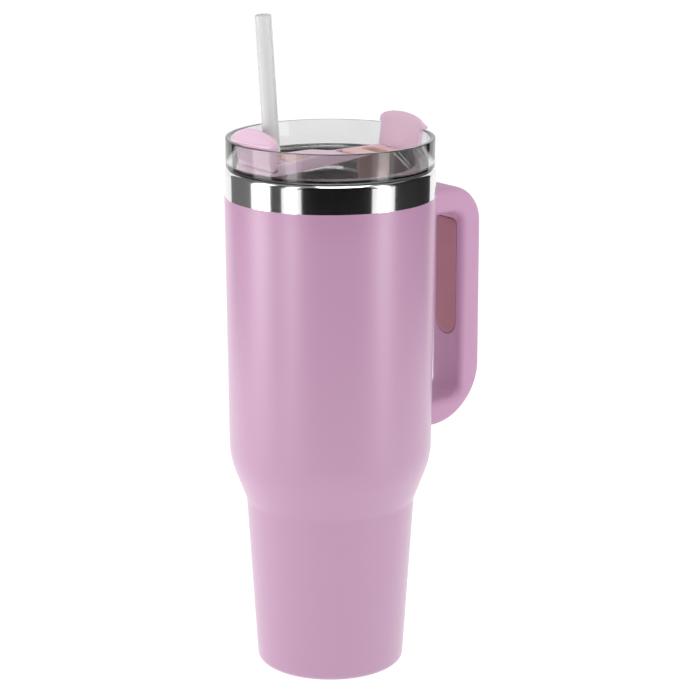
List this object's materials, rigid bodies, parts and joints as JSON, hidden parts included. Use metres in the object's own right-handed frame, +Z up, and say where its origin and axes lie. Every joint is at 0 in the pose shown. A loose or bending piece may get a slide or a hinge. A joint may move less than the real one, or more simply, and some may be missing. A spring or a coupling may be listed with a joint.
{
  "type": "insulated tumbler with lid",
  "caption": "Tall double-walled steel tumbler with a side handle, a clear press-in lid with two flip flaps, and a straw.",
  "frame": {"origin": "on the tumbler's axis at the underside of the base pad, the surface it stands on", "axes": "+Z up along the tumbler's axis, +X towards the handle, +Y to the left when looking along +X"},
  "size_m": [0.132, 0.098, 0.3141],
  "materials": {
    "coat": "satin powder coat, fine grain, with the rim left as bare polished steel",
    "steel": "electropolished stainless",
    "dull_steel": "plain stainless",
    "handle_plastic": "fine moulded texture",
    "grip": "soft-touch",
    "lid_plastic": "satin moulding",
    "clear_plastic": "clear copolyester",
    "silicone": "satin silicone",
    "base_silicone": "matt silicone",
    "straw_plastic": "translucent polypropylene"
  },
  "bodies": {
    "tumbler": {"outer_shell": "coat", "inner_liner": "steel", "base_plate": "dull_steel", "getter": "dull_steel", "seal_bead": "dull_steel", "base_pad": "base_silicone", "handle_frame": "handle_plastic", "grip_inlay": "grip", "handle_bracket_upper": "dull_steel", "handle_bracket_lower": "dull_steel", "handle_screw_upper": "steel", "handle_screw_lower": "steel"},
    "lid": {"lid_bowl": "clear_plastic", "lid_gasket": "silicone", "lid_bridge": "lid_plastic", "straw_seal": "silicone", "sip_seal": "silicone", "sip_flap_pin_left": "dull_steel", "sip_flap_pin_right": "dull_steel", "straw_flap_pin_left": "dull_steel", "straw_flap_pin_right": "dull_steel"},
    "sip_flap": {"sip_flap": "lid_plastic"},
    "straw_flap": {"straw_flap": "lid_plastic"},
    "straw": {"straw": "straw_plastic"}
  },
  "joints": [
    {"name": "lid_lift", "type": "slide", "parent": "tumbler", "child": "lid", "axis": [0, 0, 1], "range_m": [0, 0.06]},
    {"name": "sip_flap_hinge", "type": "hinge", "parent": "lid", "child": "sip_flap", "pos_m": [0.0375, 0, 0.2447], "axis": [0, -1, 0], "range_deg": [0, 98]},
    {"name": "straw_flap_hinge", "type": "hinge", "parent": "lid", "child": "straw_flap", "pos_m": [-0.0375, 0, 0.2464], "axis": [0, 1, 0], "range_deg": [0, 12]},
    {"name": "straw_pull", "type": "slide", "parent": "lid", "child": "straw", "axis": [-0.0715, 0, 0.9974], "range_m": [0, 0.24]}
  ]
}
